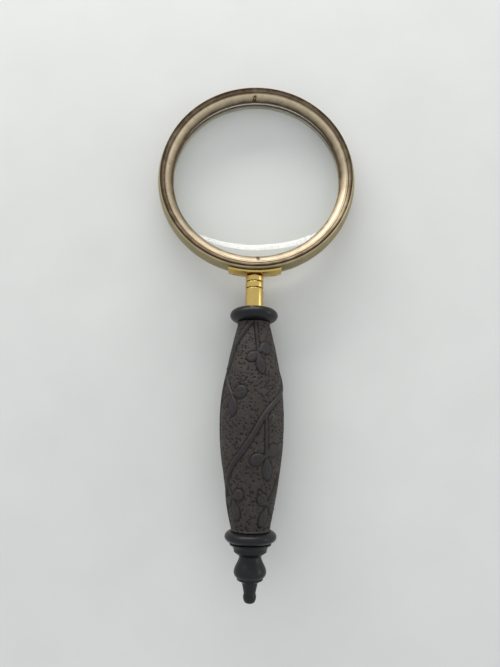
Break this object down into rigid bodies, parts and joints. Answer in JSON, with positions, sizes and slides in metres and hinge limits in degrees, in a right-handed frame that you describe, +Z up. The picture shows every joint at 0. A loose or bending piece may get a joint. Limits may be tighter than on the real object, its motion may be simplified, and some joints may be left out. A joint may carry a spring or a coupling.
{
  "type": "magnifying glass",
  "caption": "Hand-held reading glass: a round biconvex lens in a milled brass rim with a screwed retaining ring, on a brass neck and a turned and carved wooden handle.",
  "frame": {"origin": "middle of the object's box at its base, with the glass lying lens face up on a flat surface", "axes": "+Y along the glass from the finial to the lens, +Z up out of the front of the lens, +X to the right seen from above"},
  "size_m": [0.0894, 0.2224, 0.0275],
  "materials": {
    "milled_brass": "milled, half polished",
    "aged_brass": "dark patina, rubbed",
    "lens_glass": "clear, polished",
    "packing_card": "plain card",
    "polished_brass": "polished",
    "ebonised_wood": "turned, ebonised, satin",
    "carved_wood": "carved and punched, dark stained, waxed",
    "mild_steel": "plain"
  },
  "bodies": {
    "frame": {"rim": "milled_brass", "lens": "lens_glass", "rear_packing": "packing_card", "saddle": "polished_brass", "saddle_rivet_left": "polished_brass", "saddle_rivet_right": "polished_brass", "neck_stud": "polished_brass", "neck_boss": "polished_brass"},
    "packing": {"front_packing": "packing_card"},
    "retainer": {"retaining_ring": "aged_brass"},
    "spacer": {"neck_spacer": "polished_brass"},
    "handle": {"ferrule": "polished_brass", "collar_disc": "ebonised_wood", "grip": "carved_wood", "lower_disc": "ebonised_wood", "finial": "ebonised_wood", "tang_rod": "mild_steel", "tang_washer": "mild_steel", "tang_nut": "mild_steel"}
  },
  "joints": [
    {"name": "retainer_rise", "type": "slide", "parent": "frame", "child": "packing", "axis": [0, 0.0545, 0.9985], "range_m": [0, 0.002]},
    {"name": "retainer_turn", "type": "hinge", "parent": "packing", "child": "retainer", "pos_m": [0, 0.06655, 0.00783], "axis": [0, 0.0545, 0.9985], "range_deg": [0, 900]},
    {"name": "handle_draw", "type": "slide", "parent": "frame", "child": "spacer", "axis": [0, -0.9985, 0.0545], "range_m": [0, 0.0069]},
    {"name": "handle_turn", "type": "hinge", "parent": "spacer", "child": "handle", "pos_m": [0, 0.01483, 0.01065], "axis": [0, -0.9985, 0.0545], "range_deg": [0, 2520]}
  ],
  "couplings": [
    {"joint": "retainer_rise", "follows": "retainer_turn", "m_per_rad": 0.00012633},
    {"joint": "handle_draw", "follows": "handle_turn", "m_per_rad": 0.00015548}
  ]
}
